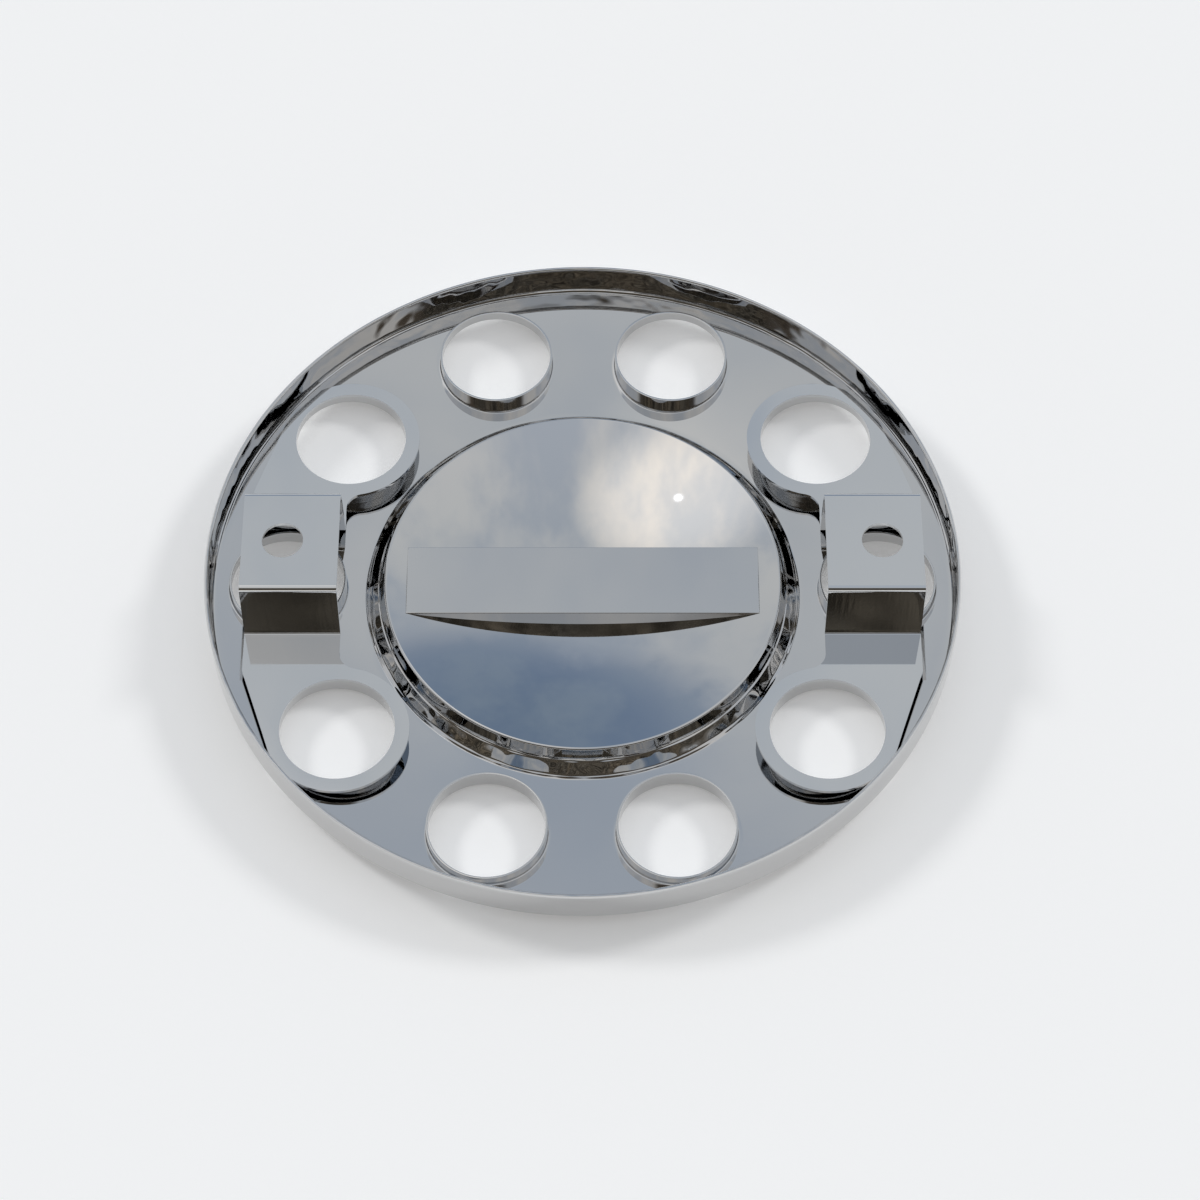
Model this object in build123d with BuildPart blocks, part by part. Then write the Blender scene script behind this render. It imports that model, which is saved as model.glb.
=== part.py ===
from build123d import *
from math import acos, atan2, cos, degrees, hypot, radians, sin, tan
import os

# Truck wheel simulator: a bright pressed cover for the face of a truck wheel, with two folded brackets
# on its back that slip over two of the wheel's studs.
#
# Frame: +Z is the cover's axis and points at the wheel, and X runs through the two stud holes.
# The cover lies front down, so Z = 0 is the ring under the foot of its hub.

# The wheel that it fits
stud_circle = 335.0
stud_count = 10
stud_hole_diameter = 23.0

# Cover: one pressing, with every height taken from the plane of the collar lips. Two lands of the face
# set how far the rim and the hub stand from the nut holes.
cover_sheet = 1.2
nut_hole_diameter = 64.0
rim_land = 13.8
rim_height = 17.3
rim_bend = 3.0
lip_bead = 2.4
face_drop = 9.04
face_angle = 4.91
hub_land = 19.6
knee_drop = 6.0
knee_bend = 3.0
foot_angle = 42.5
foot_bend = 3.8
crest_lean = 3.3
crest_height = 1.9
crest_bend = 1.5
dish_depth = 14.2
bar_end_land = 12.6
bar_width = 44.8
bar_drop = 0.2

# Brackets: one folded strip each
bracket_sheet = 2.0
hat_height = 40.0
hat_length = 65.8
hat_splay = 3.2
hat_bend = 1.0
strap_width = 54.0
strap_offset = 4.3
shoulder_span = 122.0
ring_margin = 8.0
neck_fillet = 10.0

pitch_radius = stud_circle / 2
nut_hole_radius = nut_hole_diameter / 2
collar_radius = nut_hole_radius + cover_sheet
rim_radius = pitch_radius + nut_hole_radius + rim_land
knee_radius = pitch_radius - nut_hole_radius - hub_land
crest_radius = knee_radius - crest_lean
bar_length = 2 * (crest_radius - bar_end_land)
stud_angle = 360 / stud_count
face_slope = tan(radians(face_angle))


def face_height(radius):
    """Height of the back of the conical face at a radius, from the plane of the collar lips."""
    return face_slope * (radius - pitch_radius) - face_drop


# The lower hub wall leans out by foot_angle from the knee and meets the face at the foot
foot_slope = 1 / tan(radians(foot_angle))
foot_radius = (foot_slope * knee_radius - knee_drop - face_height(0)) / (foot_slope + face_slope)

# The foot's bend: its tangent length along the face and the height of its centre over the face there
foot_tangent = foot_bend * tan(radians(90 - foot_angle + face_angle) / 2) * cos(radians(face_angle))
foot_centre = face_height(foot_radius + foot_tangent) + foot_bend * cos(radians(face_angle))
collar_plane = foot_bend + cover_sheet - foot_centre

# Section of the back of the cover, with the radius along X and the height along Y
crest = (crest_radius, collar_plane + crest_height)
knee = (knee_radius, collar_plane - knee_drop)
foot = (foot_radius, collar_plane + face_height(foot_radius))
wall_radius = rim_radius - cover_sheet
rim_corner = (wall_radius, collar_plane + face_height(wall_radius))
bead_centre = (rim_radius - lip_bead / 2, collar_plane + rim_height - lip_bead / 2)
dish_radius = (crest_radius**2 + dish_depth**2) / (2 * dish_depth)
dish_centre = crest[1] - dish_depth + dish_radius
dish_half_angle = degrees(atan2(crest_radius, dish_radius - dish_depth))

with BuildLine() as back_line:
    CenterArc((0, dish_centre), dish_radius, 270, dish_half_angle)
    Polyline(crest, knee, foot, rim_corner, (wall_radius, bead_centre[1]))
    for corner, bend in ((crest, crest_bend), (knee, knee_bend), (foot, foot_bend), (rim_corner, rim_bend)):
        fillet(back_line.vertices().sort_by_distance(corner)[0], bend)

with BuildLine() as front_line:
    add(back_line.line)
    offset(amount=cover_sheet, side=Side.RIGHT, closed=False)

# The cover is what lies between its back and its front. First comes all that lies under the back, down
# to a level below the part, with a post for each collar and a block for the bar. Then all that lies
# under the front is cut away, with the nut holes and the hollow of the bar.
base = -dish_depth - foot_bend
cut_base = base - foot_bend
beside_brackets = (1, stud_count // 2 - 1, stud_count // 2 + 1, stud_count - 1)
open_holes = [k for k in range(stud_count) if k not in beside_brackets]
bar_plane = collar_plane - bar_drop


def stations(numbers):
    """Centres of the nut holes with these numbers, counted from the stud hole on +X."""
    return [(pitch_radius * cos(radians(k * stud_angle)), pitch_radius * sin(radians(k * stud_angle)))
            for k in numbers]


with BuildPart() as cover:
    with BuildSketch(Plane.XZ):
        with BuildLine():
            add(back_line.line)
            Polyline(back_line.line @ 1, (rim_radius, bead_centre[1]), (rim_radius, base), (0, base),
                     back_line.line @ 0)
        make_face()
        with Locations(bead_centre):
            Circle(lip_bead / 2)
    revolve(axis=Axis.Z)
    for numbers, lip in ((open_holes, collar_plane), (beside_brackets, collar_plane - bracket_sheet)):
        with BuildSketch(Plane.XY.offset(base)):
            with Locations(stations(numbers)):
                Circle(collar_radius)
        extrude(amount=lip - base)
    with BuildSketch(Plane.XY.offset(base)):
        Rectangle(bar_length, bar_width)
    extrude(amount=bar_plane - base)
    with BuildSketch(Plane.XZ):
        with BuildLine():
            add(front_line.line)
            Polyline(front_line.line @ 1, (rim_radius + rim_bend, bead_centre[1]),
                     (rim_radius + rim_bend, cut_base), (0, cut_base), front_line.line @ 0)
        make_face()
    revolve(axis=Axis.Z, mode=Mode.SUBTRACT)
    with BuildSketch(Plane.XY.offset(base)):
        with Locations(stations(range(stud_count))):
            Circle(nut_hole_radius)
    extrude(amount=collar_plane + rim_height - base, mode=Mode.SUBTRACT)
    with BuildSketch(Plane.XY.offset(base)):
        Rectangle(bar_length - 2 * cover_sheet, bar_width - 2 * cover_sheet)
    extrude(amount=bar_plane - cover_sheet - base, mode=Mode.SUBTRACT)

# Bracket: a strip with a raised hat over the stud and, past each leg, a ring on the lip of a collar
strap_inside = pitch_radius - strap_offset - strap_width / 2
strap_outside = strap_inside + strap_width
hat_top = hat_length / 2
hat_foot = hat_top + hat_splay
hat_plane = collar_plane + hat_height
shoulder = shoulder_span / 2
ring_radius = nut_hole_radius + ring_margin
outer_bend = hat_bend + bracket_sheet
ring_x, ring_y = stations([1])[0]

# The strap's outer edge leaves the shoulder along the tangent of the ring
reach = hypot(strap_outside - ring_x, shoulder - ring_y)
touch = atan2(shoulder - ring_y, strap_outside - ring_x) + acos(ring_radius / reach)
ring_touch = (ring_x + ring_radius * cos(touch), ring_y + ring_radius * sin(touch))

with BuildPart() as bracket_right:
    with BuildSketch(Plane.XY.offset(collar_plane - bracket_sheet)) as plate:
        with Locations((ring_x, ring_y)):
            Circle(ring_radius)
        with BuildLine():
            Polyline((strap_inside, hat_foot + outer_bend), (strap_outside, hat_foot + outer_bend),
                     (strap_outside, shoulder), ring_touch, (ring_x, ring_y), (strap_inside, ring_y),
                     close=True)
        make_face()
        neck = (strap_inside, ring_y - ring_radius)
        fillet(plate.vertices().sort_by_distance(neck)[0], neck_fillet)
        mirror(about=Plane.XZ)
        with Locations(stations((1, stud_count - 1))):
            Circle(nut_hole_radius, mode=Mode.SUBTRACT)
    extrude(amount=bracket_sheet)
    with BuildSketch(Plane.YZ.offset(strap_inside)):
        with BuildLine():
            FilletPolyline((-shoulder, collar_plane), (-hat_foot, collar_plane), (-hat_top, hat_plane),
                           (hat_top, hat_plane), (hat_foot, collar_plane), (shoulder, collar_plane),
                           radius=(hat_bend, outer_bend, outer_bend, hat_bend))
            offset(amount=bracket_sheet, side=Side.RIGHT)
        make_face()
    extrude(amount=strap_width)
    with BuildSketch(Plane.XY.offset(hat_plane)):
        with Locations((pitch_radius, 0)):
            Circle(stud_hole_diameter / 2)
    extrude(amount=-hat_height, mode=Mode.SUBTRACT)

with BuildPart() as bracket_left:
    mirror(objects=bracket_right.part, about=Plane.YZ)

os.makedirs("parts", exist_ok=True)
cover.part.label = "cover"
export_step(cover.part, "parts/cover.step")
bracket_left.part.label = "bracket_left"
export_step(bracket_left.part, "parts/bracket_left.step")
bracket_right.part.label = "bracket_right"
export_step(bracket_right.part, "parts/bracket_right.step")
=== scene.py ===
"""A truck wheel simulator in polished steel, lying front down on a pale studio floor.

Sizes of the pieces are in millimetres, those of the finishes and the studio in metres. The cover lies on
Z = 0, +Z points at the wheel that it fits, and +X runs through the right bracket's stud hole.
"""

import logging
import math
from collections.abc import Iterable, Sequence
from dataclasses import dataclass
from enum import Enum

import bmesh
import bpy
from mathutils import Matrix, Vector
from mathutils.geometry import tessellate_polygon


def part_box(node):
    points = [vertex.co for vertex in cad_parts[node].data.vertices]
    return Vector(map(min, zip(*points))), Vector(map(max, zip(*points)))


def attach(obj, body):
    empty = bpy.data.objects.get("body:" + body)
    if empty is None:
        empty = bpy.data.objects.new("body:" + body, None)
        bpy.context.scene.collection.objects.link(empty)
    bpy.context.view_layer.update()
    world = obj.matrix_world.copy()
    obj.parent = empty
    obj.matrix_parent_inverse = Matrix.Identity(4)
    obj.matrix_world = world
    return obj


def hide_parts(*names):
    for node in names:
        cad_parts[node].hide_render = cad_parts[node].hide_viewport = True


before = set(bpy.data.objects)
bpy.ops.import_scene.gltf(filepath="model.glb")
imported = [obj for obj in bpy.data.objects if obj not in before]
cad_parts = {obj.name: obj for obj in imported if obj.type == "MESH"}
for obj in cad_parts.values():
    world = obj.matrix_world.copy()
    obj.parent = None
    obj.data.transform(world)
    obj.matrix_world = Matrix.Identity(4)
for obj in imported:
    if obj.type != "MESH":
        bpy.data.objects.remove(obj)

MM = 0.001
BODY = "root"
WELD = 0.002
SHARP_DEGREES = 38.0
SQUARE_DEGREES = 60.0
NEARLY_ZERO = 1e-9
EVEN = (1.0, 1.0, 1.0)

Point = tuple[float, float]
SheetPoint = tuple[Point, Point]
Triple = tuple[float, float, float]
Color = tuple[float, float, float]
Span = tuple[float, float]
Row = list[bmesh.types.BMVert]
Socket = bpy.types.NodeSocket

log = logging.getLogger("wheel_simulator")


class Side(Enum):
    """The side of the axis on which a bracket sits, as its turn from +X."""

    RIGHT = 0.0
    LEFT = math.pi


class Operation(Enum):
    """An operation on numbers, by its name in Blender."""

    ABSOLUTE = "ABSOLUTE"
    MAXIMUM = "MAXIMUM"
    MULTIPLY = "MULTIPLY"
    MULTIPLY_ADD = "MULTIPLY_ADD"
    SUBTRACT = "SUBTRACT"


class Blend(Enum):
    """A way to mix two colours, by its name in Blender."""

    MIX = "MIX"
    MULTIPLY = "MULTIPLY"


@dataclass(frozen=True)
class Pattern:
    """A noise pattern; the place where it is read is multiplied by squeeze, then turned about Z."""

    fineness: float
    detail: float
    roughness: float = 0.5
    distortion: float = 0.0
    squeeze: Triple = EVEN
    turn_degrees: float = 0.0


class NodeGraph:
    """The shader nodes of one material or of the dome, made one after the other."""

    def __init__(self, tree: bpy.types.NodeTree) -> None:
        """Takes the tree in which the nodes are made."""
        self.tree = tree

    def feed(self, target: Socket, value: Socket | float | Sequence[float]) -> None:
        """Feeds an input.

        Args:
            target: The input.
            value: Another node's output, or a fixed value.
        """
        if isinstance(value, Socket):
            self.tree.links.new(value, target)
        else:
            target.default_value = value

    def arithmetic(self, operation: Operation, *values: Socket | float) -> Socket:
        """Works out one operation on numbers.

        Args:
            operation: The operation.
            values: The numbers, in order.

        Returns:
            The result.
        """
        node = self.tree.nodes.new("ShaderNodeMath")
        node.operation = operation.value
        for target, value in zip(node.inputs, values):
            self.feed(target, value)
        return node.outputs[0]

    def cosine(self, vector: Socket, way: Triple) -> Socket:
        """Compares a unit vector with a way.

        Args:
            vector: The unit vector.
            way: The way, of any length.

        Returns:
            The cosine of the angle between them.
        """
        node = self.tree.nodes.new("ShaderNodeVectorMath")
        node.operation = "DOT_PRODUCT"
        node.inputs[1].default_value = Vector(way).normalized()
        self.feed(node.inputs[0], vector)
        return node.outputs["Value"]

    def upward(self, vector: Socket) -> Socket:
        """Takes the upright part of a vector.

        Args:
            vector: The vector.

        Returns:
            Its Z.
        """
        node = self.tree.nodes.new("ShaderNodeSeparateXYZ")
        self.feed(node.inputs[0], vector)
        return node.outputs["Z"]

    def axis_distance(self, place: Socket) -> Socket:
        """Measures how far a place is from the Z axis.

        Args:
            place: The place.

        Returns:
            The distance.
        """
        level = self.tree.nodes.new("ShaderNodeVectorMath")
        level.operation = "MULTIPLY"
        level.inputs[1].default_value = (1, 1, 0)
        self.feed(level.inputs[0], place)
        length = self.tree.nodes.new("ShaderNodeVectorMath")
        length.operation = "LENGTH"
        self.feed(length.inputs[0], level.outputs["Vector"])
        return length.outputs["Value"]

    def noise(self, place: Socket, pattern: Pattern) -> Socket:
        """Reads a noise pattern.

        Args:
            place: Where it is read.
            pattern: The pattern.

        Returns:
            Its value, about 0.5 in the middle.
        """
        if pattern.squeeze != EVEN or pattern.turn_degrees:
            mapping = self.tree.nodes.new("ShaderNodeMapping")
            mapping.inputs["Rotation"].default_value = (0, 0, math.radians(pattern.turn_degrees))
            mapping.inputs["Scale"].default_value = pattern.squeeze
            self.feed(mapping.inputs["Vector"], place)
            place = mapping.outputs["Vector"]
        node = self.tree.nodes.new("ShaderNodeTexNoise")
        node.inputs["Scale"].default_value = pattern.fineness
        node.inputs["Detail"].default_value = pattern.detail
        node.inputs["Roughness"].default_value = pattern.roughness
        node.inputs["Distortion"].default_value = pattern.distortion
        self.feed(node.inputs["Vector"], place)
        return node.outputs["Fac"]

    def smooth_step(self, value: Socket, source: Span, result: Span = (0.0, 1.0)) -> Socket:
        """Takes a value smoothly from one range to another.

        Args:
            value: The value.
            source: The range in which it changes.
            result: The range to which that is taken.

        Returns:
            The new value.
        """
        node = self.tree.nodes.new("ShaderNodeMapRange")
        node.interpolation_type = "SMOOTHSTEP"
        node.inputs["From Min"].default_value, node.inputs["From Max"].default_value = source
        node.inputs["To Min"].default_value, node.inputs["To Max"].default_value = result
        self.feed(node.inputs["Value"], value)
        return node.outputs["Result"]

    def bump(self, height: Socket, depth: float, under: Socket | None = None) -> Socket:
        """Bends the normal of a surface as a relief would.

        Args:
            height: The relief.
            depth: Its depth in metres.
            under: The normal to which it is added, or none for the mesh's own.

        Returns:
            The new normal.
        """
        node = self.tree.nodes.new("ShaderNodeBump")
        node.inputs["Strength"].default_value = 1.0
        node.inputs["Distance"].default_value = depth
        self.feed(node.inputs["Height"], height)
        if under is not None:
            self.feed(node.inputs["Normal"], under)
        return node.outputs["Normal"]

    def mix(self, factor: Socket | float, first: Socket | Color, second: Socket | Color,
            blend: Blend = Blend.MIX) -> Socket:
        """Mixes two colours.

        Args:
            factor: The share of the second colour.
            first: One colour.
            second: The other.
            blend: The way in which they mix.

        Returns:
            The mixed colour.
        """
        node = self.tree.nodes.new("ShaderNodeMix")
        node.data_type = "RGBA"
        node.blend_type = blend.value
        self.feed(node.inputs["Factor"], factor)
        for name, color in (("A", first), ("B", second)):
            self.feed(node.inputs[name], color if isinstance(color, Socket) else (*color, 1))
        return node.outputs["Result"]

    def change(self, value: Socket, span: Span, below: Socket | Color, above: Socket | Color) -> Socket:
        """Changes smoothly from the colour below to the one above as a value crosses a span."""
        return self.mix(self.smooth_step(value, span), below, above)


@dataclass(frozen=True)
class DrawnRing:
    """A ring round the axis that is wavy because the sheet was drawn there, in metres."""

    radius: float
    half_width: float
    depth: float


@dataclass(frozen=True)
class PolishedSteel:
    """Mirror-polished stainless steel, smudged, lined on its steep walls and wavy where it was drawn.

    Lengths are in metres, and the fineness of a pattern is in features a metre. The colour changes by shade
    either way, and smudges add up to smudge to the roughness as their pattern crosses smudge_span. The waves
    of a drawn ring are full over wave_core of its half width. The lines fade out as the upright part of the
    normal crosses steep_span.
    """

    name: str
    color: Color
    drawn: tuple[DrawnRing, ...] = ()
    shade: float = 0.03
    shades: Pattern = Pattern(9.0, 5.0)
    roughness: float = 0.03
    smudge: float = 0.07
    smudge_span: Span = (0.5, 0.82)
    smudges: Pattern = Pattern(22.0, 8.0)
    hollow_depth: float = 0.000006
    hollows: Pattern = Pattern(26.0, 1.0)
    wave_core: float = 0.6
    waves: Pattern = Pattern(60.0, 1.0)
    line_depth: float = 0.00001
    lines: Pattern = Pattern(420.0, 3.0, squeeze=(1.0, 1.0, 0.06))
    steep_span: Span = (0.15, 0.4)
    grain_depth: float = 0.0000012
    grain: Pattern = Pattern(900.0, 2.0)

    def tint(self, graph: NodeGraph, place: Socket) -> Socket:
        """Makes the colour, a little darker and lighter from spot to spot.

        Args:
            graph: The material's nodes.
            place: The place on the piece.

        Returns:
            The colour.
        """
        darker = tuple((1 - self.shade) * part for part in self.color)
        lighter = tuple(min(1.0, (1 + self.shade) * part) for part in self.color)
        return graph.mix(graph.noise(place, self.shades), darker, lighter)

    def relief(self, graph: NodeGraph, place: Socket, normal: Socket) -> Socket:
        """Makes the shallow hollows, the waves, the drawing lines and the grain.

        Args:
            graph: The material's nodes.
            place: The place on the piece.
            normal: The mesh's normal there.

        Returns:
            The bumped normal.
        """
        bumped = graph.bump(graph.noise(place, self.hollows), self.hollow_depth)
        if self.drawn:
            radius = graph.axis_distance(place)
            waves = graph.noise(place, self.waves)
        for ring in self.drawn:
            away = graph.arithmetic(Operation.SUBTRACT, radius, ring.radius)
            edge = (self.wave_core * ring.half_width, ring.half_width)
            inside = graph.smooth_step(graph.arithmetic(Operation.ABSOLUTE, away), edge, (1.0, 0.0))
            bumped = graph.bump(graph.arithmetic(Operation.MULTIPLY, waves, inside), ring.depth, bumped)
        upright = graph.arithmetic(Operation.ABSOLUTE, graph.upward(normal))
        steep = graph.smooth_step(upright, self.steep_span, (1.0, 0.0))
        lines = graph.arithmetic(Operation.MULTIPLY, graph.noise(place, self.lines), steep)
        bumped = graph.bump(lines, self.line_depth, bumped)
        return graph.bump(graph.noise(place, self.grain), self.grain_depth, bumped)

    def build(self) -> bpy.types.Material:
        """Makes the node material.

        Returns:
            The finished material.
        """
        material = bpy.data.materials.new(self.name)
        material.use_nodes = True
        graph = NodeGraph(material.node_tree)
        shader = graph.tree.nodes["Principled BSDF"].inputs
        spot = graph.tree.nodes.new("ShaderNodeTexCoord").outputs
        smudges = graph.noise(spot["Object"], self.smudges)
        dull = (self.roughness, self.roughness + self.smudge)
        shader["Metallic"].default_value = 1.0
        graph.feed(shader["Base Color"], self.tint(graph, spot["Object"]))
        graph.feed(shader["Roughness"], graph.smooth_step(smudges, self.smudge_span, dull))
        graph.feed(shader["Normal"], self.relief(graph, spot["Object"], spot["Normal"]))
        return material


@dataclass(frozen=True)
class Corner:
    """A corner of a sheet's section that is bent to a radius on the back of the sheet."""

    place: Point
    bend: float


def direction(start: Point, end: Point) -> Point:
    """The unit vector from start to end."""
    length = math.dist(start, end)
    return ((end[0] - start[0]) / length, (end[1] - start[1]) / length)


def arc(centre: Point, radius: float, first: float, last: float, steps: int) -> list[Point]:
    """The points that divide an arc into steps, from the first angle to the last, with both ends."""
    angles = [first + (last - first) * step / steps for step in range(steps + 1)]
    return [(centre[0] + radius * math.cos(angle), centre[1] + radius * math.sin(angle)) for angle in angles]


def circle(centre: Point, radius: float, steps: int) -> list[Point]:
    """The points that divide a circle into steps, the first one in the direction of +X."""
    return arc(centre, radius, 0.0, math.tau, steps)[:-1]


def bezier(first: Vector, middle: Vector, last: Vector, steps: int) -> list[Vector]:
    """The points that divide a curve, which is tangent at its ends to the lines through a middle point."""
    shares = [step / steps for step in range(steps + 1)]
    return [(1 - t) ** 2 * first + 2 * t * (1 - t) * middle + t * t * last for t in shares]


def bent_corner(before: Point, corner: Corner, after: Point, steps: int) -> list[SheetPoint]:
    """Draws the bend that replaces a corner.

    Args:
        before: A point on the run that leads to the corner.
        corner: The corner.
        after: A point on the run that leaves it.
        steps: The number of parts of the bend.

    Returns:
        For each point its place and the unit normal on the left of the way along the section.
    """
    arrive, leave = direction(before, corner.place), direction(corner.place, after)
    turn = math.atan2(arrive[0] * leave[1] - arrive[1] * leave[0],
                      arrive[0] * leave[0] + arrive[1] * leave[1])
    signed_bend = math.copysign(corner.bend, turn)
    tangent = corner.bend * math.tan(abs(turn) / 2)
    heading = math.atan2(arrive[1], arrive[0])
    centre = (corner.place[0] - tangent * arrive[0] - signed_bend * math.sin(heading),
              corner.place[1] - tangent * arrive[1] + signed_bend * math.cos(heading))
    points = []
    for step in range(steps + 1):
        angle = heading + turn * step / steps
        normal = (-math.sin(angle), math.cos(angle))
        points.append(((centre[0] - signed_bend * normal[0], centre[1] - signed_bend * normal[1]), normal))
    return points


def offset_back(points: Iterable[SheetPoint], depth: float) -> list[Point]:
    """The points that lie a depth under points with normals."""
    return [(place[0] - depth * normal[0], place[1] - depth * normal[1]) for place, normal in points]


def lifted(points: Iterable[Point], height: float) -> list[Vector]:
    """Level points put at a height."""
    return [Vector((x, y, height)) for x, y in points]


def away_from(centre: Vector, way: Vector, distance: float, height: float) -> Vector:
    """The point at a level distance from a centre on a way, put at a height."""
    return Vector((centre.x + distance * way.x, centre.y + distance * way.y, height))


class MeshMaker:
    """Collects rows of points and the faces between them, in millimetres, into one mesh."""

    def __init__(self) -> None:
        """Starts an empty mesh."""
        self.mesh = bmesh.new()

    def row(self, points: Iterable[Vector]) -> Row:
        """Adds points and returns their vertices."""
        return [self.mesh.verts.new(point) for point in points]

    def rows(self, lines: Iterable[list[Vector]], closed: bool = True) -> None:
        """Adds rows of points and joins each to the next with four-sided faces.

        Args:
            lines: The rows, all of one length.
            closed: Whether they run all the way round.
        """
        made = [self.row(line) for line in lines]
        for first, second in zip(made, made[1:]):
            for i in range(len(first) if closed else len(first) - 1):
                j = (i + 1) % len(first)
                self.mesh.faces.new((first[i], first[j], second[j], second[i]))

    def cap(self, line: list[Vector]) -> None:
        """Adds one face inside a level row."""
        self.mesh.faces.new(self.row(line))

    def fill(self, loops: list[list[Vector]]) -> None:
        """Fills a level outline with a hole by triangles.

        Args:
            loops: The outline and its hole.
        """
        made = self.row(point for loop in loops for point in loop)
        for face in tessellate_polygon(loops):
            self.mesh.faces.new([made[i] for i in face])

    def weld(self) -> None:
        """Welds points that are in one place and turns the faces outwards."""
        bmesh.ops.remove_doubles(self.mesh, verts=self.mesh.verts, dist=WELD)
        bmesh.ops.recalc_face_normals(self.mesh, faces=self.mesh.faces)

    def round_edges(self, radius: float, steps: int) -> None:
        """Rounds every square edge of the welded mesh.

        Args:
            radius: The radius of the rounding.
            steps: The number of its parts.
        """
        square = [edge for edge in self.mesh.edges if edge.calc_face_angle(0) > math.radians(SQUARE_DEGREES)]
        bmesh.ops.bevel(self.mesh, geom=square, offset=radius, offset_type="OFFSET", segments=steps,
                        profile=0.5, affect="EDGES", clamp_overlap=True)

    def turn(self, angle: float) -> None:
        """Turns the mesh about the Z axis."""
        matrix = Matrix.Rotation(angle, 3, "Z")
        bmesh.ops.rotate(self.mesh, cent=(0, 0, 0), matrix=matrix, verts=self.mesh.verts)

    def finish(self, name: str) -> bpy.types.Object:
        """Welds the mesh and makes it an object in metres.

        Args:
            name: The piece's name.

        Returns:
            The object, shaded smooth with its normals weighted by face area.
        """
        self.weld()
        bmesh.ops.scale(self.mesh, vec=(MM, MM, MM), verts=self.mesh.verts)
        data = bpy.data.meshes.new(name)
        self.mesh.to_mesh(data)
        self.mesh.free()
        data.shade_smooth()
        data.set_sharp_from_angle(angle=math.radians(SHARP_DEGREES))
        piece = bpy.data.objects.new(name, data)
        bpy.context.scene.collection.objects.link(piece)
        piece.modifiers.new("face_weighted_normals", "WEIGHTED_NORMAL").keep_sharp = True
        return piece


@dataclass
class WheelFit:
    """The wheel's sizes that the cover and the brackets share."""

    pitch_radius: float = 167.5
    stud_count: int = 10
    stud_hole_radius: float = 11.5
    nut_hole_radius: float = 32.0

    def station(self, number: int) -> Vector:
        """The centre of a nut hole, counted from the one on +X."""
        angle = math.tau * number / self.stud_count
        return Vector((self.pitch_radius * math.cos(angle), self.pitch_radius * math.sin(angle), 0))


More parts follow.
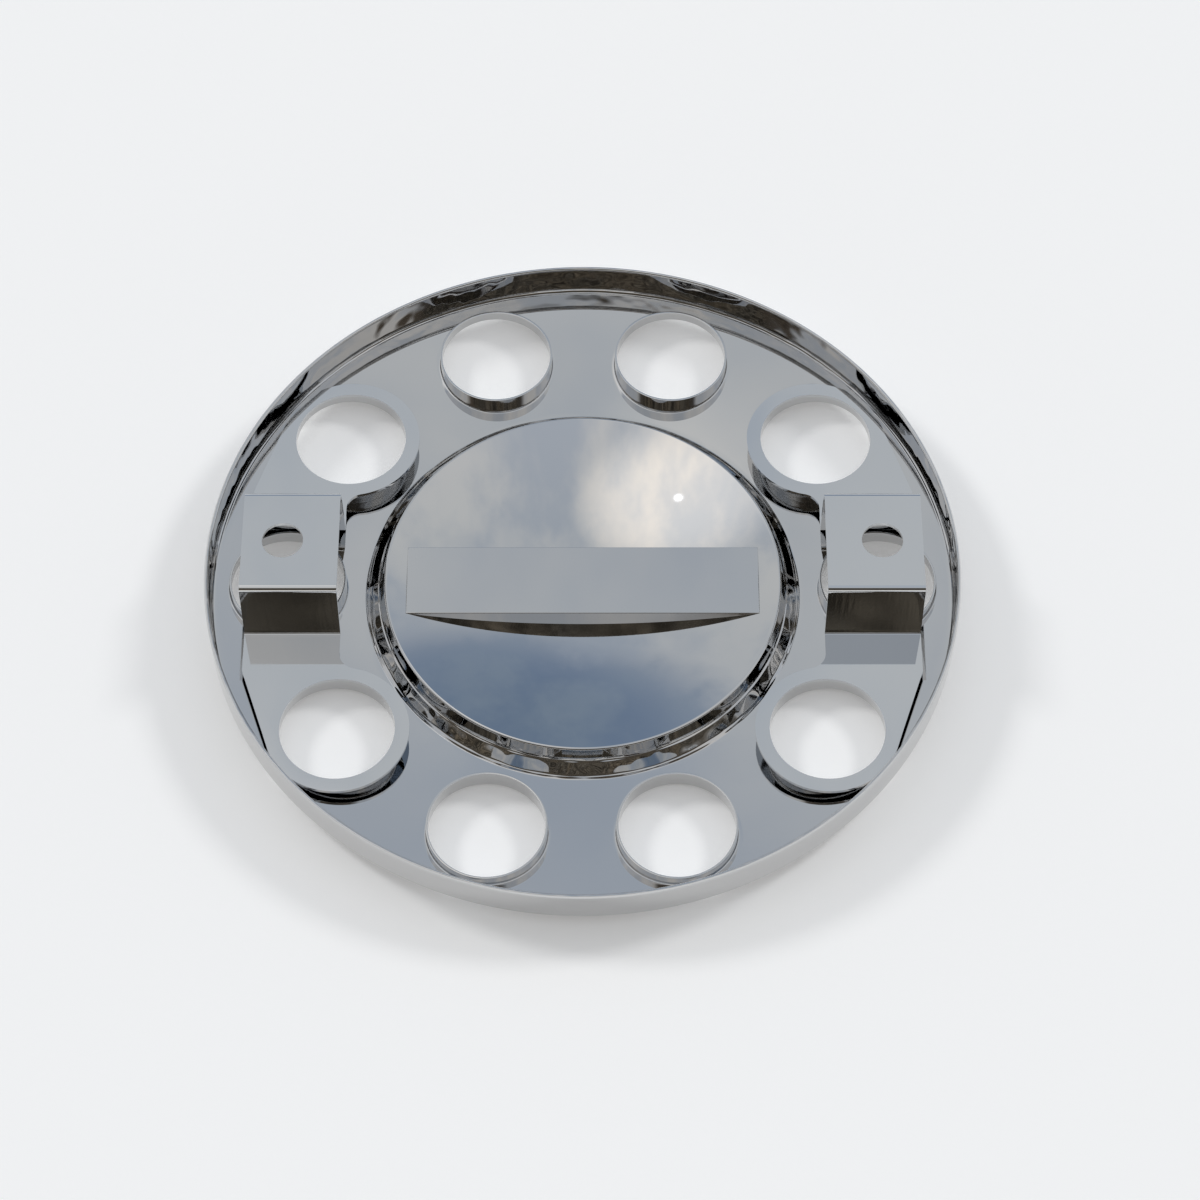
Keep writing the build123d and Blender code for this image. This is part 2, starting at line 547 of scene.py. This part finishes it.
@dataclass
class PressedCover:
    """The cover: rim, conical face with ten drawn collars, hub wall, dish and bar, as one sheet."""

    fit: WheelFit
    steel: bpy.types.Material
    collar_plane: float
    bracket_sheet: float
    sheet: float = 1.2
    rim_land: float = 13.8
    rim_height: float = 17.3
    rim_bend: float = 3.0
    lip_bead: float = 2.4
    face_drop: float = 9.04
    face_degrees: float = 4.91
    hub_land: float = 19.6
    knee_drop: float = 6.0
    knee_bend: float = 3.0
    foot_degrees: float = 42.5
    foot_bend: float = 3.8
    crest_lean: float = 3.3
    crest_height: float = 1.9
    crest_bend: float = 1.5
    dish_depth: float = 14.2
    bar_end_land: float = 12.6
    bar_width: float = 44.8
    bar_drop: float = 0.2
    bar_round: float = 0.45
    bar_front_round: float = 0.225
    collar_root: float = 1.0
    collar_entry: float = 2.2
    edge_round: float = 0.25
    around: int = 400
    side_steps: int = 24
    crest_steps: int = 10
    knee_steps: int = 5
    foot_steps: int = 9
    rim_steps: int = 10
    bead_steps: int = 18
    bar_round_steps: int = 3
    root_steps: int = 5
    lip_steps: int = 2
    entry_steps: int = 6
    land_shares: tuple[float, ...] = (0, 0.06, 0.16, 0.32, 0.54, 0.78, 1)
    dish_shares: tuple[float, ...] = (0.97, 0.9, 0.8, 0.7, 0.6, 0.5, 0.4, 0.3, 0.2, 0.12, 0.05, 0)

    def __post_init__(self) -> None:
        """Works out the section's corners from the sizes."""
        fit = self.fit
        self.slope = math.tan(math.radians(self.face_degrees))
        self.front_drop = self.sheet * math.hypot(1, self.slope)
        knee_radius = fit.pitch_radius - fit.nut_hole_radius - self.hub_land
        self.crest_radius = knee_radius - self.crest_lean
        wall_slope = 1 / math.tan(math.radians(self.foot_degrees))
        axis_height = self.face_height(0) - self.collar_plane
        foot_radius = (wall_slope * knee_radius - self.knee_drop - axis_height) / (wall_slope + self.slope)
        wall_radius = fit.pitch_radius + fit.nut_hole_radius + self.rim_land - self.sheet
        self.crest = (self.crest_radius, self.collar_plane + self.crest_height)
        self.knee = (knee_radius, self.collar_plane - self.knee_drop)
        self.foot = (foot_radius, self.face_height(foot_radius))
        self.rim_corner = (wall_radius, self.face_height(wall_radius))
        self.bead_centre = (wall_radius, self.collar_plane + self.rim_height - self.lip_bead / 2)
        self.dish_radius = (self.crest_radius**2 + self.dish_depth**2) / (2 * self.dish_depth)
        self.dish_centre = self.crest[1] - self.dish_depth + self.dish_radius

    def face_height(self, radius: float) -> float:
        """The height of the back of the conical face at a radius."""
        return self.collar_plane - self.face_drop + self.slope * (radius - self.fit.pitch_radius)

    def dish_height(self, radius: float, depth: float) -> float:
        """The height at a radius of the dish, a depth under its back."""
        return self.dish_centre - math.sqrt((self.dish_radius + depth) ** 2 - radius**2)

    def hub_section(self) -> list[SheetPoint]:
        """Draws the hub wall.

        Returns:
            The points and normals of its back, from the crest down to the foot.
        """
        outward = direction((0.0, self.dish_centre), self.crest)
        before = (self.crest[0] + outward[1], self.crest[1] - outward[0])
        return (bent_corner(before, Corner(self.crest, self.crest_bend), self.knee, self.crest_steps)
                + bent_corner(self.crest, Corner(self.knee, self.knee_bend), self.foot, self.knee_steps)
                + bent_corner(self.knee, Corner(self.foot, self.foot_bend), self.rim_corner, self.foot_steps))

    def rim_section(self) -> list[SheetPoint]:
        """The back points and normals of the bend from the face up into the rim's wall."""
        corner = Corner(self.rim_corner, self.rim_bend)
        return bent_corner(self.foot, corner, self.bead_centre, self.rim_steps)

    def ring(self, place: Point) -> list[Vector]:
        """A row of points round the axis, through a point of the section."""
        return lifted(circle((0.0, 0.0), place[0], self.around), place[1])

    def add_revolved(self, maker: MeshMaker) -> None:
        """Adds the hub wall and the rim with its rolled lip, back and front.

        Args:
            maker: The mesh being made.
        """
        hub, rim = self.hub_section(), self.rim_section()
        roll = arc(self.bead_centre, self.lip_bead / 2, math.radians(270), 0.0, self.bead_steps)
        rim_outline = offset_back(rim, 0) + roll + offset_back(rim, self.sheet)[::-1]
        for line in (offset_back(hub, 0), offset_back(hub, self.sheet), rim_outline):
            maker.rows([self.ring(place) for place in line])

    def sector_edge(self, number: int, ends: Span) -> list[Vector]:
        """Goes round one sector of the face.

        Args:
            number: The sector's nut hole.
            ends: The radii where the hub's foot ends and the rim's bend begins.

        Returns:
            The level points of the outer arc, one side, the inner arc and the other side.
        """
        inner, outer = ends
        per_sector = self.around // self.fit.stud_count
        first = number * per_sector - per_sector // 2
        turns = [math.tau * (first + i) / self.around for i in range(per_sector + 1)]
        shares = [i / self.side_steps for i in range(self.side_steps)]
        polar = [(outer, turn) for turn in turns[:-1]]
        polar += [(outer + (inner - outer) * share, turns[-1]) for share in shares]
        polar += [(inner, turn) for turn in reversed(turns[1:])]
        polar += [(inner + (outer - inner) * share, turns[0]) for share in shares]
        return lifted([(radius * math.cos(turn), radius * math.sin(turn)) for radius, turn in polar], 0)

    def on_face(self, point: Vector, drop: float) -> Vector:
        """The point of the face's back over a level point, or a drop under it."""
        return Vector((point.x, point.y, self.face_height(math.hypot(point.x, point.y)) - drop))

    def add_land(self, maker: MeshMaker, number: int, ends: Span, drop: float) -> list[tuple[Vector, Vector]]:
        """Adds one side of one sector of the face, up to where its collar starts.

        Args:
            maker: The mesh being made.
            number: The sector's nut hole.
            ends: The radii where the hub's foot ends and the rim's bend begins.
            drop: 0 for the back, or how far the front lies under it.

        Returns:
            The ways out from the hole's centre, each with the point of the face beside the collar.
        """
        centre = self.fit.station(number)
        edge = self.sector_edge(number, ends)
        ways = [(point - centre).normalized() for point in edge]
        start = [centre + (self.fit.nut_hole_radius + self.collar_entry) * way for way in ways]
        lines = [[self.on_face(near + share * (far - near), drop) for near, far in zip(start, edge)]
                 for share in self.land_shares]
        maker.rows(lines)
        return list(zip(ways, lines[0]))

    def collar_section(self, centre: Vector, lip: float, back: tuple[Vector, Vector],
                       front: tuple[Vector, Vector]) -> list[Vector]:
        """Draws the collar's wall on one way out from the hole's centre.

        Args:
            centre: The hole's centre.
            lip: The height of the collar's lip.
            back: The way on the back, and the point of the face there.
            front: The same on the front.

        Returns:
            The points from the back of the face over the lip to its front.
        """
        inside = self.fit.nut_hole_radius
        outside = inside + self.sheet
        below = lip - self.edge_round
        way, way_in = back[0], front[0]
        root = self.on_face(away_from(centre, way, outside, 0), 0)
        entry = self.on_face(away_from(centre, way_in, inside, 0), self.front_drop)
        wall_foot = away_from(centre, way, outside, root.z + self.collar_root)
        bore_end = away_from(centre, way_in, inside, entry.z + self.collar_entry)
        lip_outside = (away_from(centre, way, outside, below), away_from(centre, way, outside, lip),
                       away_from(centre, way, outside - self.edge_round, lip))
        lip_inside = (away_from(centre, way_in, inside + self.edge_round, lip),
                      away_from(centre, way_in, inside, lip), away_from(centre, way_in, inside, below))
        return (bezier(back[1], root, wall_foot, self.root_steps) + bezier(*lip_outside, self.lip_steps)
                + bezier(*lip_inside, self.lip_steps) + bezier(bore_end, entry, front[1], self.entry_steps))

    def add_sector(self, maker: MeshMaker, number: int, lip: float) -> None:
        """Adds one sector of the face with its drawn collar.

        Args:
            maker: The mesh being made.
            number: The nut hole's number.
            lip: The height of the collar's lip.
        """
        ends = (self.hub_section()[-1], self.rim_section()[0])
        back_ends, front_ends = (tuple(radius for radius, _ in offset_back(ends, depth))
                                 for depth in (0, self.sheet))
        back = self.add_land(maker, number, back_ends, 0.0)
        front = self.add_land(maker, number, front_ends, self.front_drop)
        centre = self.fit.station(number)
        sections = [self.collar_section(centre, lip, *pair) for pair in zip(back, front)]
        maker.rows([list(line) for line in zip(*sections)])

    def bar_edge(self, inset: float) -> list[Vector]:
        """Goes round the bar, with one point for each direction from the axis.

        Args:
            inset: How far the outline lies inside the bar's outside.

        Returns:
            The level points, with the nearest one moved into each corner.
        """
        length = self.crest_radius - self.bar_end_land
        width = self.bar_width / 2
        points = []
        for c, s in circle((0.0, 0.0), 1.0, self.around):
            reach = min(length / max(abs(c), NEARLY_ZERO), width / max(abs(s), NEARLY_ZERO))
            points.append(Vector((reach * c, reach * s, 0)))
        for corner in (Vector((x, y, 0)) for x in (-length, length) for y in (-width, width)):
            nearest = min(range(len(points)), key=lambda i: (points[i] - corner).length)
            points[nearest] = corner
        return [Vector((p.x * (length - inset) / length, p.y * (width - inset) / width, 0)) for p in points]

    def add_dish(self, maker: MeshMaker, depth: float, crest: Point, bend: float) -> None:
        """Adds one side of the dish with the bar pressed across it.

        Args:
            maker: The mesh being made.
            depth: 0 for the back, or the sheet's thickness for the front.
            crest: Where this side's hub wall starts.
            bend: The radius that rounds the bar's edge.
        """
        plate = self.collar_plane - self.bar_drop - depth
        edge, rim = self.bar_edge(depth), self.ring(crest)
        lines = [rim]
        for share in self.dish_shares:
            flat = [((1 - share) * near.x + share * far.x, (1 - share) * near.y + share * far.y)
                    for near, far in zip(edge, rim)]
            lines.append([Vector((x, y, self.dish_height(math.hypot(x, y), depth))) for x, y in flat])
        for step in range(self.bar_round_steps + 1):
            angle = math.pi / 2 * step / self.bar_round_steps
            height = plate - bend * (1 - math.sin(angle))
            inset = self.bar_edge(depth + bend * (1 - math.cos(angle)))
            lines.append([Vector((point.x, point.y, height)) for point in inset])
        maker.rows(lines)
        maker.cap(lines[-1])

    def build(self) -> bpy.types.Object:
        """Builds the cover and dresses it.

        Returns:
            The piece, which stands for the cover's solid.
        """
        maker = MeshMaker()
        self.add_revolved(maker)
        crest = self.hub_section()[:1]
        for depth, bend in ((0.0, self.bar_round), (self.sheet, self.bar_front_round)):
            self.add_dish(maker, depth, offset_back(crest, depth)[0], bend)
        half = self.fit.stud_count // 2
        beside_brackets = (1, half - 1, half + 1, self.fit.stud_count - 1)
        for number in range(self.fit.stud_count):
            drop = self.bracket_sheet if number in beside_brackets else 0
            self.add_sector(maker, number, self.collar_plane - drop)
        piece = maker.finish("pressed_cover")
        piece.data.materials.append(self.steel)
        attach(piece, BODY)
        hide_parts("cover")
        return piece


@dataclass
class StudBracket:
    """One folded strip: a raised hat over the stud and a ring on the lip of a collar past each leg."""

    fit: WheelFit
    steel: bpy.types.Material
    side: Side
    collar_plane: float
    sheet: float = 2.0
    hat_height: float = 40.0
    hat_length: float = 65.8
    hat_splay: float = 3.2
    hat_bend: float = 1.0
    strap_width: float = 54.0
    strap_offset: float = 4.3
    shoulder_span: float = 122.0
    ring_margin: float = 8.0
    neck_fillet: float = 10.0
    edge_round: float = 0.3
    ring_steps: int = 96
    neck_steps: int = 12
    hat_bend_steps: int = 8
    stud_hole_steps: int = 64
    edge_round_steps: int = 3

    def __post_init__(self) -> None:
        """Works out the outline's places from the sizes."""
        self.inside = self.fit.pitch_radius - self.strap_offset - self.strap_width / 2
        self.outside = self.inside + self.strap_width
        self.outer_bend = self.hat_bend + self.sheet
        self.foot = self.hat_length / 2 + self.hat_splay
        self.root = self.foot + self.outer_bend

    def plate_outline(self) -> list[Point]:
        """Goes round the plate on the +Y side.

        Returns:
            The points from the strap round the ring and back by the neck, without the closing one.
        """
        centre = self.fit.station(1)
        ring = self.fit.nut_hole_radius + self.ring_margin
        shoulder = (self.outside, self.shoulder_span / 2)
        across = (shoulder[0] - centre.x, shoulder[1] - centre.y)
        touch = math.atan2(across[1], across[0]) + math.acos(ring / math.hypot(*across))
        neck_x = self.inside - self.neck_fillet
        neck_y = centre.y - math.sqrt((ring + self.neck_fillet) ** 2 - (neck_x - centre.x) ** 2)
        leave = math.atan2(neck_y - centre.y, neck_x - centre.x) + math.tau
        neck = arc((neck_x, neck_y), self.neck_fillet, leave - math.pi, 0.0, self.neck_steps)
        return [(self.inside, self.root), (self.outside, self.root), shoulder,
                *arc((centre.x, centre.y), ring, touch, leave, self.ring_steps), *neck[1:]]

    def hat_section(self) -> list[SheetPoint]:
        """Draws the hat.

        Returns:
            The outside points (Y, Z) and normals, from one foot over the top to the other.
        """
        level = self.collar_plane
        top = level + self.hat_height
        half = self.hat_length / 2
        corners = [Corner((-self.foot, level), self.hat_bend), Corner((-half, top), self.outer_bend),
                   Corner((half, top), self.outer_bend), Corner((self.foot, level), self.hat_bend)]
        start, end = (-self.root, level), (self.root, level)
        places = [start, *(corner.place for corner in corners), end]
        up = (0.0, 1.0)
        points = [(start, up)]
        for corner, before, after in zip(corners, places, places[2:]):
            points += bent_corner(before, corner, after, self.hat_bend_steps)
        return points + [(end, up)]

    def add_side(self, maker: MeshMaker, depth: float) -> list[list[Vector]]:
        """Adds one side of the folded sheet.

        Args:
            maker: The mesh being made.
            depth: 0 for the outside, or the sheet's thickness for the inside.

        Returns:
            The loops of points round the sheet and round its three holes.
        """
        height = self.collar_plane - depth
        station = self.fit.station(1)
        nut_hole = circle((station.x, station.y), self.fit.nut_hole_radius, self.ring_steps)
        stud_hole = circle((self.fit.pitch_radius, 0.0), self.fit.stud_hole_radius, self.stud_hole_steps)
        flat = (self.plate_outline(), nut_hole)
        upper, lower = ([lifted([(x, hand * y) for x, y in loop], height) for loop in flat]
                        for hand in (1, -1))
        section = offset_back(self.hat_section(), depth)
        inner, outer = ([Vector((x, y, z)) for y, z in section] for x in (self.inside, self.outside))
        middle = len(section) // 2
        top = [inner[middle - 1], outer[middle - 1], outer[middle], inner[middle]]
        stud_loop = lifted(stud_hole, outer[middle].z)
        maker.fill(upper)
        maker.fill(lower)
        maker.rows([inner[:middle], outer[:middle]], closed=False)
        maker.rows([inner[middle:], outer[middle:]], closed=False)
        maker.fill([top, stud_loop])
        edge = upper[0][1:] + upper[0][:1] + inner[-2:0:-1] + lower[0][:1] + lower[0][:0:-1] + outer[1:-1]
        return [edge, upper[1], lower[1], stud_loop]

    def build(self) -> bpy.types.Object:
        """Builds the bracket on +X, turns it to its side and dresses it.

        Returns:
            The piece, which stands for the bracket's solid.
        """
        maker = MeshMaker()
        for loops in zip(self.add_side(maker, 0.0), self.add_side(maker, self.sheet)):
            maker.rows(loops)
        maker.weld()
        maker.round_edges(self.edge_round, self.edge_round_steps)
        maker.turn(self.side.value)
        name = self.side.name.lower()
        piece = maker.finish(f"stud_bracket_{name}")
        piece.data.materials.append(self.steel)
        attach(piece, BODY)
        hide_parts(f"bracket_{name}")
        return piece


@dataclass
class PaleFloor:
    """A plain pale floor that keeps the object's shadow, a little lifted where it is seen or mirrored."""

    color: Color = (0.82, 0.82, 0.815)
    roughness: float = 0.95
    lift: float = 0.2
    size: float = 30.0

    def paper(self) -> bpy.types.Material:
        """Makes the floor's material.

        Returns:
            The finished material.
        """
        material = bpy.data.materials.new("floor_paper")
        material.use_nodes = True
        graph = NodeGraph(material.node_tree)
        shader = graph.tree.nodes["Principled BSDF"].inputs
        shader["Base Color"].default_value = (*self.color, 1)
        shader["Roughness"].default_value = self.roughness
        shader["Specular IOR Level"].default_value = 0.0
        shader["Emission Color"].default_value = (1, 1, 1, 1)
        ray = graph.tree.nodes.new("ShaderNodeLightPath").outputs
        seen = ray["Is Camera Ray"]
        for kind in ("Is Glossy Ray", "Is Transmission Ray"):
            seen = graph.arithmetic(Operation.MAXIMUM, seen, ray[kind])
        graph.feed(shader["Emission Strength"], graph.arithmetic(Operation.MULTIPLY, seen, self.lift))
        return material

    def build(self) -> bpy.types.Object:
        """Makes the floor.

        Returns:
            The floor.
        """
        mesh = bmesh.new()
        bmesh.ops.create_grid(mesh, x_segments=1, y_segments=1, size=self.size / 2)
        data = bpy.data.meshes.new("studio_floor")
        mesh.to_mesh(data)
        mesh.free()
        data.materials.append(self.paper())
        floor = bpy.data.objects.new("studio_floor", data)
        bpy.context.scene.collection.objects.link(floor)
        return floor


@dataclass
class CloudyDome:
    """A dome of light: cloudy sky over the far side, brown ground over the near one, and one bright spot.

    A height is 1 on sky_way, where the sky is bluest, and 0 on the opposite way, shifted a little by the
    clouds. Each span holds the values between which one colour passes into the next: ground_edge in heights,
    horizon_edge in Z, glow_edge and core_edge in the cosine of the angle from glow_way, and cloud_span and
    patch_span in the values of their patterns.
    """

    sky_way: Triple = (0.095, 0.840, 0.534)
    sky_stops: tuple[tuple[float, Color], ...] = (
        (0.0, (0.045, 0.038, 0.030)), (0.46, (0.055, 0.046, 0.036)), (0.50, (0.10, 0.085, 0.07)),
        (0.54, (0.62, 0.62, 0.62)), (0.82, (0.63, 0.65, 0.68)), (0.93, (0.56, 0.59, 0.62)),
        (0.974, (0.50, 0.54, 0.59)), (0.986, (0.24, 0.31, 0.42)), (1.0, (0.21, 0.28, 0.38)))
    drift: float = 0.04
    clouds: Pattern = Pattern(5.2, 8.0, roughness=0.62, squeeze=(1.0, 0.3, 1.0), turn_degrees=62.0)
    cloud_span: Span = (0.38, 0.64)
    cloud_thin: Color = (0.82, 0.87, 0.94)
    cloud_thick: Color = (1.16, 1.13, 1.09)
    patches: Pattern = Pattern(30.0, 8.0, roughness=0.72, distortion=0.4, squeeze=(1.0, 1.0, 4.0))
    patch_span: Span = (0.38, 0.68)
    ground_dark: Color = (0.020, 0.017, 0.013)
    ground_pale: Color = (0.20, 0.170, 0.130)
    ground_edge: Span = (0.44, 0.49)
    glow_way: Triple = (-0.193, 0.335, 0.922)
    glow_color: Color = (1.20, 1.15, 1.09)
    glow_edge: Span = (0.975, 1.0)
    core_color: Color = (3.0, 2.95, 2.9)
    core_edge: Span = (0.99994, 0.999995)
    horizon_color: Color = (0.86, 0.84, 0.81)
    horizon_edge: Span = (0.14, 0.34)

    def sky(self, graph: NodeGraph, height: Socket) -> Socket:
        """Makes the sky's colour.

        Args:
            graph: The dome's nodes.
            height: The height.

        Returns:
            The colour at that height.
        """
        node = graph.tree.nodes.new("ShaderNodeValToRGB")
        elements = node.color_ramp.elements
        while len(elements) < len(self.sky_stops):
            elements.new(0.5)
        for element, (position, color) in zip(elements, self.sky_stops):
            element.position = position
            element.color = (*color, 1)
        graph.feed(node.inputs["Fac"], height)
        return node.outputs["Color"]

    def build(self) -> bpy.types.World:
        """Makes the dome and lights the scene with it.

        Returns:
            The world that holds it.
        """
        world = bpy.data.worlds.new("studio_dome")
        bpy.context.scene.world = world
        world.use_nodes = True
        graph = NodeGraph(world.node_tree)
        way = graph.tree.nodes.new("ShaderNodeTexCoord").outputs["Generated"]
        cloud = graph.noise(way, self.clouds)
        drift = graph.arithmetic(Operation.MULTIPLY_ADD, cloud, self.drift, 0.5 - self.drift / 2)
        height = graph.arithmetic(Operation.MULTIPLY_ADD, graph.cosine(way, self.sky_way), 0.5, drift)
        patch = graph.noise(way, self.patches)
        near_glow = graph.cosine(way, self.glow_way)
        ground = graph.change(patch, self.patch_span, self.ground_dark, self.ground_pale)
        color = graph.change(height, self.ground_edge, ground, self.sky(graph, height))
        color = graph.change(near_glow, self.glow_edge, color, self.glow_color)
        color = graph.change(near_glow, self.core_edge, color, self.core_color)
        color = graph.change(graph.upward(way), self.horizon_edge, self.horizon_color, color)
        veil = graph.change(cloud, self.cloud_span, self.cloud_thin, self.cloud_thick)
        shown = graph.mix(1.0, color, veil, Blend.MULTIPLY)
        graph.feed(graph.tree.nodes["Background"].inputs["Color"], shown)
        return world


@dataclass(frozen=True)
class SoftLamp:
    """A soft lamp far away, which lights the floor and lays the shadow but isn't mirrored by the steel."""

    name: str
    way: Triple
    strength: float = 0.9
    width_degrees: float = 12.0

    def build(self) -> bpy.types.Object:
        """Makes the lamp.

        Returns:
            The lamp, which shines from its way.
        """
        light = bpy.data.lights.new(self.name, "SUN")
        light.energy = self.strength
        light.angle = math.radians(self.width_degrees)
        lamp = bpy.data.objects.new(self.name, light)
        lamp.rotation_euler = Vector(self.way).to_track_quat("Z", "Y").to_euler()
        lamp.visible_glossy = False
        bpy.context.scene.collection.objects.link(lamp)
        return lamp


@dataclass
class Viewpoint:
    """The camera at the photograph's place and viewing angle, in metres, with its lens in millimetres."""

    eye: Triple = (0.00963, -1.06714, 1.63142)
    target: Triple = (0.00980, -0.01379, 0.01398)
    lens: float = 102.325
    sensor: float = 36.0

    def build(self) -> bpy.types.Object:
        """Makes the camera.

        Returns:
            The camera, which is the scene's own.
        """
        data = bpy.data.cameras.new("camera")
        data.lens = self.lens
        data.sensor_width = self.sensor
        data.sensor_fit = "HORIZONTAL"
        camera = bpy.data.objects.new("camera", data)
        camera.location = self.eye
        look = Vector(self.target) - Vector(self.eye)
        camera.rotation_euler = look.to_track_quat("-Z", "Y").to_euler()
        bpy.context.scene.collection.objects.link(camera)
        bpy.context.scene.camera = camera
        return camera


def main() -> None:
    """Builds the wheel simulator and its studio."""
    logging.basicConfig(level=logging.INFO, format="%(name)s: %(message)s")
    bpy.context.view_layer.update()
    hat_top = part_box("bracket_right")[1][2] / MM
    collar_plane = hat_top - StudBracket.hat_height
    fit = WheelFit()
    rim_waves = DrawnRing(radius=0.2115, half_width=0.0016, depth=0.0010)
    hub_waves = DrawnRing(radius=0.1195, half_width=0.0045, depth=0.0012)
    cover_steel = PolishedSteel("cover_steel", (0.63, 0.63, 0.63), (rim_waves, hub_waves)).build()
    bracket_steel = PolishedSteel("bracket_steel", (0.66, 0.67, 0.68)).build()
    pieces = [PressedCover(fit, cover_steel, collar_plane, StudBracket.sheet).build()]
    pieces += [StudBracket(fit, bracket_steel, side, collar_plane).build() for side in Side]
    for piece in pieces:
        log.info("%s: %d faces", piece.name, len(piece.data.polygons))
    PaleFloor().build()
    CloudyDome().build()
    SoftLamp("soft_lamp_left", (-0.70, 0.44, 0.56)).build()
    SoftLamp("soft_lamp_right", (0.70, 0.44, 0.56)).build()
    Viewpoint().build()
    bpy.context.scene.view_settings.view_transform = "Standard"


if __name__ == "__main__":
    main()
